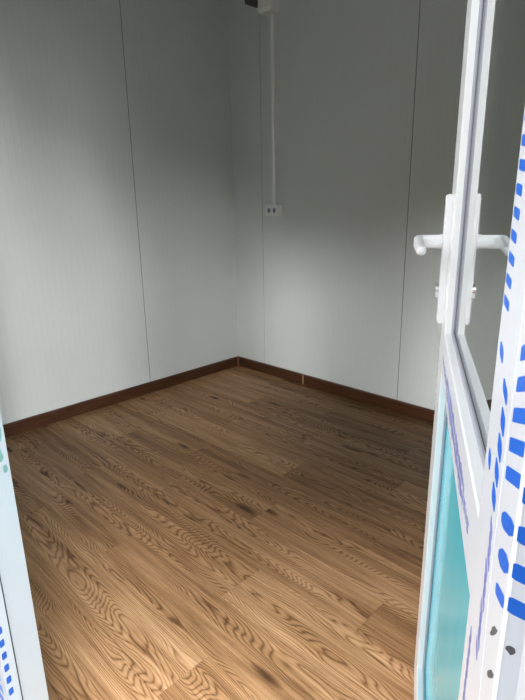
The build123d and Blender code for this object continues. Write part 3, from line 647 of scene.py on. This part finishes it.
def stile_films():
    """Protective film on the leaf's hinge stile and its edge, and the fold between the two."""
    inner, outer = LEAF_WIDTH - STILE + FILM_LAP, LEAF_WIDTH - 0.0016
    low, high = leaf_foot + FILM_END, leaf_top - FILM_END
    steps, waver = 60, 0.0008
    left_side, right_side = [], []
    for i in range(steps + 1):
        height = high + (low - high) * i / steps
        left_side.append((inner + draw.uniform(-waver, waver), height))
        right_side.append((outer, height))
    door_slabs("stile_film", [left_side + right_side[::-1]], SUNK, FILM, "white_film")
    near, far = 0.0022, 0.044
    edge = [(near, low), (far, low), (far, high), (near, high)]
    door_slabs("stile_edge_film", [edge], SUNK, FILM, "white_film", on_leaf_edge)

    def upright(along, height, depth):
        return on_leaf(along, depth, height)

    # Its section, along the leaf and behind its outer face
    end = LEAF_WIDTH
    fold = [(end - 0.0022, FILM), (end - 0.0017, FILM), (end - FILM, 0.0017), (end - FILM, 0.0024),
            (end - 0.0002, 0.0024), (end - 0.0002, 0.0015), (end - 0.0015, 0.0002), (end - 0.0022, 0.0002)]
    door_slabs("stile_fold_film", [fold], low, high, "white_film", upright)


def leaf_prints():
    """Plain blocks in place of the lettering on the leaf's films, and the middle rail's film below its blocks."""
    blocks = column(0.701, 1.187, 0.0136, 12, 0.020, 0.0064, -0.12, stagger=0.001, cycle=2)
    blocks += [skewed((0.705, 1.006), 0.015, 0.0090, -0.3, 0.35), skewed((0.732, 0.989), 0.018, 0.0085, -0.3, 0.35)]
    blocks += column(0.736, 0.971, 0.0170, 4, 0.015, 0.0125, -0.3, 0.35)
    blocks += [skewed((0.706, 0.931), 0.011, 0.0110, -0.3, 0.35)]
    blocks += column(0.780, 1.028, 0.0174, 5, 0.035, 0.0085, 0.38, 0.12)
    blocks += [skewed((0.782, 0.931), 0.032, 0.0110, 0.38, 0.5), skewed((0.784, 0.909), 0.028, 0.0120, 0.38, 0.6),
               skewed((0.786, 0.888), 0.024, 0.0085, 0.38, 0.3)]
    blocks += column(0.740, 0.60, 0.024, 12, 0.030, 0.0120, 0.2, 0.2)
    blocks += column(0.745, 1.62, 0.024, 11, 0.034, 0.0120, 0.2, 0.2)
    door_slabs("stile_print", blocks, FILM, INK, "blue_print")

    faded = column(0.740, 0.900, 0.0105, 10, 0.0100, 0.0082, -0.6, 0.3, stagger=0.0015, cycle=3)
    faded += [skewed((0.712, 0.790 - 0.0105 * i), 0.0080 + 0.002 * (i % 2), 0.0080, -0.6, 0.5) for i in range(8)]
    # Two rows along the middle rail, taller in their middle part
    along, end = 0.130, 0.640
    tall_from, tall_to = 0.28, 0.59
    row_height = 0.832
    while along < end:
        length = draw.uniform(0.0060, 0.0130)
        tall = draw.uniform(0.011, 0.016) if tall_from < along < tall_to else draw.uniform(0.003, 0.008)
        for row in (-0.5, 0.5):
            centre = (along + draw.uniform(-0.001, 0.001), row_height + row * tall * 1.05)
            faded.append(skewed(centre, length, tall * draw.uniform(0.6, 1.0), 0.2, 0.3))
        along += length + draw.uniform(0.0005, 0.0030)
    door_slabs("faded_print", faded, FILM, INK, "faded_print")
    left, right = STILE + 0.001, LEAF_WIDTH - STILE + FILM_LAP
    low, high = rail_low + 0.002, rail_high - 0.002
    door_slabs("rail_film", [[(left, low), (right, low), (right, high), (left, high)]], SUNK, FILM, "white_film")

    blocks = [skewed((0.016, h), 0.030, 0.010, -0.39, 0.15) for h in (0.972, 0.954, 0.932, 0.910, 0.889)]
    blocks += column(0.022, 1.60, 0.026, 10, 0.026, 0.0130, 0.1, 0.15)
    door_slabs("edge_print", blocks, FILM, INK, "blue_print", on_leaf_edge)


def leaf_wear():
    """A long crease and smears in the film, and shreds of film along the leaf's free edge."""
    low, high = leaf_foot + FILM_END, leaf_top - FILM_END
    crease = [(0.7500, high), (0.7512, high), (0.7545, 0.89), (0.7675, 0.79), (0.7690, low), (0.7678, low),
              (0.7663, 0.79), (0.7533, 0.89)]
    door_slabs("film_crease", [crease], FILM, CREASE, "white_film")
    smears = [scrap((0.7825, 0.860), 0.020, 0.0080, 0.97), scrap((0.7885, 0.835), 0.018, 0.0080, 0.97)]
    door_slabs("smears", smears, FILM, INK, "smudge")
    door_slabs("edge_smear", [scrap((0.0050, 0.866), 0.007, 0.0075, -0.4)], FILM, INK, "smudge", on_leaf_edge)

    tatters = []
    height, end = 0.62, 1.93
    while height < end:
        size = draw.uniform(0.004, 0.010)
        tatters.append(scrap((draw.uniform(-0.0006, 0.0008), height), draw.uniform(0.003, 0.0055), size))
        height += size + draw.uniform(0.004, 0.020)
    tatters += [scrap((0.0005, 0.10 + 0.09 * i), 0.0045, 0.010) for i in range(5)]
    door_slabs("edge_tatters", tatters, SUNK, SCRAP, "tatter")


def jamb_films():
    """Film on the left jamb's stop and outer face, printed with plain blocks, and scraps left in its rebate."""
    low, high = 0.03, 1.9
    for name, width, place in (("jamb_film", 0.020, on_stop), ("jamb_front_film", 0.078, on_frame_front)):
        sheet = [(0.001, low), (width, low), (width, high), (0.001, high)]
        frame_slabs(name, [sheet], SUNK, FILM, "white_film", place)
    blocks = column(0.0065, 0.440, 0.026, 7, 0.008, 0.0140, 0.3, 0.3)
    frame_slabs("jamb_print", blocks, FILM, INK, "blue_print", on_stop)
    # Nine blocks, then a gap of four
    rows = [block for i, block in enumerate(column(0.045, 1.86, 0.030, 58, 0.040, 0.0150, 0.1, 0.2)) if i % 13 < 9]
    frame_slabs("jamb_front_print", rows, FILM, INK, "blue_print", on_frame_front)
    teal = [scrap((0.010, 0.755), 0.015, 0.040), scrap((0.014, 0.715), 0.016, 0.034),
            scrap((0.007, 0.690), 0.010, 0.020)]
    frame_slabs("jamb_scraps", teal, SUNK, SCRAP, "teal_scrap", on_rebate)


def lock_details():
    """Key core at both ends of the lock cylinder with a dark plate in its key slit, painted as the shade in the keyway,
    and screws in both handle plates.
    """
    core_radius, screw_radius = 0.0062, 0.0034
    slit_half_width, slit_half_height = 0.0011, 0.0042
    a, b = CYLINDER_SETBACK, CYLINDER_HEIGHT
    slit = [(a - slit_half_width, b - slit_half_height), (a + slit_half_width, b - slit_half_height),
            (a + slit_half_width, b + slit_half_height), (a - slit_half_width, b + slit_half_height)]
    core = [disc((a, b), core_radius)]
    heads = [disc((a, height), screw_radius) for height in PLATE_SCREW_HEIGHTS]
    for side, face, sign in (("outer", 0.0, -1), ("inner", leaf_depth, 1)):
        barrel, plate = face + sign * BARREL_PROUD, face + sign * PLATE_PROUD
        slabs("key_core_" + side, core, barrel - sign * 0.0004, barrel + sign * 0.0006, "steel",
              on_leaf, "door")
        # The key slit is a dark plate just proud of the core: painted shade in the keyway.
        slabs("key_slit_" + side, [slit], barrel + sign * 0.0005, barrel + sign * 0.0007, "rubber_and_shade",
              on_leaf, "door")
        slabs("plate_screws_" + side, heads, plate - sign * 0.0004, plate + sign * 0.0008, "steel",
              on_leaf, "door")


def seams():
    """Dark strips of painted shadow inside the joints between the wall panels, on both faces of each wall."""
    low, high = room_low.z, room_high.z
    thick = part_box("back_wall")[1].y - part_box("back_wall")[0].y
    back = [room_low.x + BACK_FIRST_JOINT + PANEL_MODULE * i for i in range(3)]
    side = [room_high.y - SIDE_FIRST_JOINT - PANEL_MODULE * i for i in range(2)]
    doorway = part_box("front_wall_left")[1].x
    # Each strip: its place, the axis its width runs along (0 for X, 1 for Y), and which way the wall lies
    strips = []
    for x in back:
        strips += [(x, room_high.y, 0, 1)]
        if x < doorway:
            strips += [(x, room_low.y, 0, -1)]
    for y in side:
        strips += [(room_low.x, y, 1, -1), (room_high.x, y, 1, 1)]
    points, faces = [], []
    for x, y, axis, sign in strips:
        closed = (axis, sign) == (0, 1) and x == back[0]
        wide = SEAM_WIDTH / 2 * (CLOSED_SEAM if closed else 1.0)
        for face, inward in ((0.0, 1), (thick, -1)):
            near = (face + inward * SEAM_DEPTH) * sign
            far = (face + inward * (SEAM_DEPTH + SEAM_THICKNESS)) * sign
            first = len(points)
            for z in (low, high):
                for a, b in ((-wide, near), (wide, near), (wide / 2, far), (-wide / 2, far)):
                    points.append((x + a, y + b, z) if axis == 0 else (x + b, y + a, z))
            faces += [[first, first + 1, first + 2, first + 3], [first + 7, first + 6, first + 5, first + 4]]
            faces += [[first + i, first + 4 + i, first + 4 + (i + 1) % 4, first + (i + 1) % 4] for i in range(4)]
    piece("panel_seams", points, faces, "seam")


def socket_details():
    """Inserts with pin holes, a middle screw and earth clips in the socket's two wells; the pin holes are dark discs of
    painted shade.
    """
    low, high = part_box("wall_socket")
    middle, z = (low.x + high.x) / 2, (low.z + high.z) / 2 - room_low.z
    bottom = low.y + SOCKET_WELL_DEPTH
    insert_radius, pin_radius, screw_radius = 0.0186, 0.0025, 0.0042
    clip_width, clip_height = 0.005, 0.0040
    inserts, pin_hole_shades, screws, clips = [], [], [], []
    for side in (-0.5, 0.5):
        x = middle + side * SOCKET_WELL_SPACING
        inserts.append(disc((x, z), insert_radius, 32))
        screws.append(disc((x, z), screw_radius, 14))
        pin_hole_shades += [disc((x + shift, z), pin_radius, 14) for shift in (-PIN_SPACING / 2, PIN_SPACING / 2)]
        clips += [skewed((x, z + shift), clip_width, clip_height, 0, 0.2) for shift in (CLIP_SETBACK, -CLIP_SETBACK)]

    def in_well(a, depth, b):
        return Vector((a, bottom + depth, room_low.z + b))

    slabs("socket_inserts", inserts, 0.0004, -0.0012, "well_blue", in_well)
    # The pin holes are dark discs on the insert: painted shade in the holes.
    slabs("socket_pins", pin_hole_shades, -0.0011, -0.0014, "rubber_and_shade", in_well)
    slabs("socket_screws", screws, -0.0011, -0.0024, "rubber_and_shade", in_well)
    slabs("socket_clips", clips, -0.0011, -0.0090, "steel", in_well)


def breakers():
    """Breakers with toggles behind the distribution box's lid."""
    low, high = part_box("distribution_box")
    lid_low, lid_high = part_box("box_lid")
    front = room_high.y - BREAKER_FACE
    middle = (lid_low.z + lid_high.z) / 2 - room_low.z
    centre = (low.x + high.x) / 2 + BREAKER_SHIFT
    width, height, toggle_width, toggle_height = 0.0172, 0.045, 0.0100, 0.0120

    def on_nose(a, depth, b):
        return Vector((a, front + depth, room_low.z + b))

    places = [centre + BREAKER_PITCH * i for i in (-1, 0, 1)]
    bodies = [skewed((x, middle), width, height, 0, 0.06) for x in places]
    toggles = [skewed((x, middle + TOGGLE_RISE), toggle_width, toggle_height, 0, 0.2) for x in places]
    slabs("breaker_fronts", bodies, 0.0004, -0.0010, "fitting", on_nose)
    slabs("breaker_toggles", toggles, -0.0009, -0.0040, "toggle", on_nose)


def roof_screws():
    """Hexagonal screws with washers that hold the roof sheet to the three purlins."""
    rows = sorted({round(vertex.co.y, 4) for vertex in frame["nodes"]["roof_purlins"].data.vertices})
    firsts = range(0, len(rows), PURLIN_EDGES)
    purlin_rows = [(rows[i] + rows[i + PURLIN_EDGES - 1]) / 2 for i in firsts]
    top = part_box("roof_sheet")[0].z + ROOF_SHEET_THICKNESS
    washer_radius, head_radius = 0.0085, 0.0050
    washers, heads = [], []
    for y in purlin_rows:
        for i in range(ROOF_SCREWS):
            x = (i - (ROOF_SCREWS - 1) / 2) * ROOF_SCREW_PITCH
            washers.append(disc((x, y), washer_radius, 16))
            heads.append(disc((x, y), head_radius, 6))

    def on_roof(a, depth, b):
        return Vector((a, b, top + depth))

    slabs("roof_washers", washers, -0.0003, 0.0014, "rubber_and_shade", on_roof)
    slabs("roof_screws", heads, 0.0012, 0.0062, "zinc", on_roof)


gaskets()
frame_seal()
stile_films()
leaf_prints()
leaf_wear()
jamb_films()
lock_details()
seams()
socket_details()
breakers()
roof_screws()


def ground():
    """Plain pale floor just below the cabin."""
    bpy.ops.mesh.primitive_plane_add(size=60, location=(0, 0, -0.0005))
    plane = bpy.context.object
    plane.name = "stage_floor"
    finish = Finish("stage_floor", roughness=0.9)
    finish.set("Base Color", finish.mix(finish.noise(finish.place, 0.4), (0.80, 0.80, 0.80), (0.78, 0.78, 0.78)))
    plane.data.materials.append(finish.material)


# How strongly the surround lights the cabin; seen by eye, in mirrors and through glass it is plain white
AMBIENT = 0.22


def surround():
    """White surround that gives only dim light."""
    world = bpy.data.worlds.new("studio")
    bpy.context.scene.world = world
    world.use_nodes = True
    nodes, links = world.node_tree.nodes, world.node_tree.links
    rays = nodes.new("ShaderNodeLightPath")
    seen = nodes.new("ShaderNodeMath")
    seen.operation = "MAXIMUM"
    links.new(rays.outputs["Is Camera Ray"], seen.inputs[0])
    links.new(rays.outputs["Is Glossy Ray"], seen.inputs[1])
    through = nodes.new("ShaderNodeMath")
    through.operation = "MAXIMUM"
    links.new(seen.outputs[0], through.inputs[0])
    links.new(rays.outputs["Is Transmission Ray"], through.inputs[1])
    strength = nodes.new("ShaderNodeMapRange")
    strength.inputs["To Min"].default_value = AMBIENT
    strength.inputs["To Max"].default_value = 1.0
    links.new(through.outputs[0], strength.inputs["Value"])
    background = nodes["Background"]
    background.inputs["Color"].default_value = (1.0, 1.0, 1.0, 1.0)
    links.new(strength.outputs[0], background.inputs["Strength"])


# Groups with lamps of their own. Under the plain lamps alone the room is much darker than it is in the photo, so the
# lamps of its walls and of its floor shine in through the doorway and light nothing else.
FITTINGS = ("wall_socket", "trunking", "distribution_box", "box_lid", "socket_inserts", "socket_pins",
            "socket_screws", "socket_clips", "breaker_fronts", "breaker_toggles")
GROUPS = {
    "room": ("left_wall", "back_wall", "panel_seams", "skirting_left", "skirting_back", "skirting_clips") + FITTINGS,
    "floor": ("floor_boards",),
    "fittings": FITTINGS,
    "frame": ("door_jamb_left", "door_jamb_right", "door_head", "door_threshold", "frame_hinges", "strike_plate",
              "frame_seal", "jamb_film", "jamb_front_film", "jamb_print", "jamb_front_print", "jamb_scraps"),
    "door": tuple(node.name for node in bpy.data.objects if node.get("lit_as_door"))
            + tuple(frame["record"]["behaviour"]["bodies"]["door"]) + ("lever_handles",),
}

# Each lamp: azimuth, elevation, energy and spread, all angles in degrees, then the group it lights, or None for
# everything, and whether only that group throws shadows from it
LAMPS = (
    ("sun_front", -10, 25, 1.35, 30, None, False),
    ("sun_left", -40, 25, 0.6, 30, None, False),
    ("sun_right", 80, 25, 1.2, 30, None, False),
    ("sun_back", 200, 40, 2.0, 40, None, False),
    ("room_soft", -10, 25, 0.65, 30, "room", False),
    ("room_soft_left", -40, 25, 0.3, 30, "room", False),
    ("room_far_right", 80, 25, 1.0, 30, "room", False),
    ("frame_right", 80, 25, 1.0, 30, "frame", False),
    ("room_low", 78, 6, 2.8, 18, "room", False),
    ("room_right", 66, 20, 3.1, 18, "room", False),
    ("room_right_low", 66, 6, 1.0, 18, "room", False),
    ("room_middle", 50, 20, 1.6, 18, "room", False),
    ("room_sharp", 36, 25, 1.85, 10, "room", False),
    ("room_front", 14, 30, 2.75, 18, "room", False),
    ("room_steep", 0, 60, 1.1, 18, "room", False),
    ("floor_front", 0, 60, 3.1, 25, "floor", False),
    ("floor_near", 25, 60, 2.4, 25, "floor", False),
    ("floor_middle", 50, 25, 3.4, 25, "floor", False),
    ("floor_low", 70, 15, 5.0, 25, "floor", False),
    ("floor_right", 70, 60, 5.3, 25, "floor", False),
    ("fitting_fill", 40, 10, 0.45, 30, "fittings", True),
    ("door_fill", -80, 15, 2.0, 40, "door", True),
    ("door_top", 0, 75, 0.7, 40, "door", True),
    ("door_edge", 20, 15, 0.6, 40, "door", True),
)


def sun(name, azimuth, elevation, energy, spread):
    """A distant lamp; azimuth 0 shines from the front and 90 from the right."""
    lamp = bpy.data.lights.new(name, "SUN")
    lamp.energy = energy
    lamp.angle = math.radians(spread)
    made = bpy.data.objects.new(name, lamp)
    bpy.context.scene.collection.objects.link(made)
    a, e = math.radians(azimuth), math.radians(elevation)
    towards = Vector((math.sin(a) * math.cos(e), -math.cos(a) * math.cos(e), math.sin(e)))
    made.rotation_euler = towards.to_track_quat("Z", "Y").to_euler()
    return made


def lamps():
    """All lamps, each linked to the group it lights."""
    for name, azimuth, elevation, energy, spread, lit, alone in LAMPS:
        lamp = sun(name, azimuth, elevation, energy, spread)
        if not lit:
            continue
        group = bpy.data.collections.new("lit_" + name)
        for node in GROUPS[lit]:
            group.objects.link(bpy.data.objects.get(node) or frame["nodes"][node])
        lamp.light_linking.receiver_collection = group
        if alone:
            lamp.light_linking.blocker_collection = group


def camera():
    """Camera at the photo's place, turned to its angle."""
    made = bpy.data.objects.new("camera", bpy.data.cameras.new("camera"))
    bpy.context.scene.collection.objects.link(made)
    bpy.context.scene.camera = made
    forward = Vector((math.sin(CAMERA_YAW) * math.cos(CAMERA_PITCH), math.cos(CAMERA_YAW) * math.cos(CAMERA_PITCH),
                      -math.sin(CAMERA_PITCH)))
    right = Vector((math.cos(CAMERA_YAW), -math.sin(CAMERA_YAW), 0))
    down = forward.cross(right)
    turned_right = right * math.cos(CAMERA_ROLL) + down * math.sin(CAMERA_ROLL)
    turned_down = down * math.cos(CAMERA_ROLL) - right * math.sin(CAMERA_ROLL)
    axes = Matrix((turned_right, -turned_down, -forward)).transposed().to_4x4()
    made.matrix_world = Matrix.Translation(CAMERA_PLACE) @ axes
    made.data.lens = CAMERA_LENS
    made.data.sensor_width = SENSOR_WIDTH
    made.data.clip_start = 0.01


ground()
surround()
lamps()
camera()
bpy.context.scene.view_settings.view_transform = "Standard"
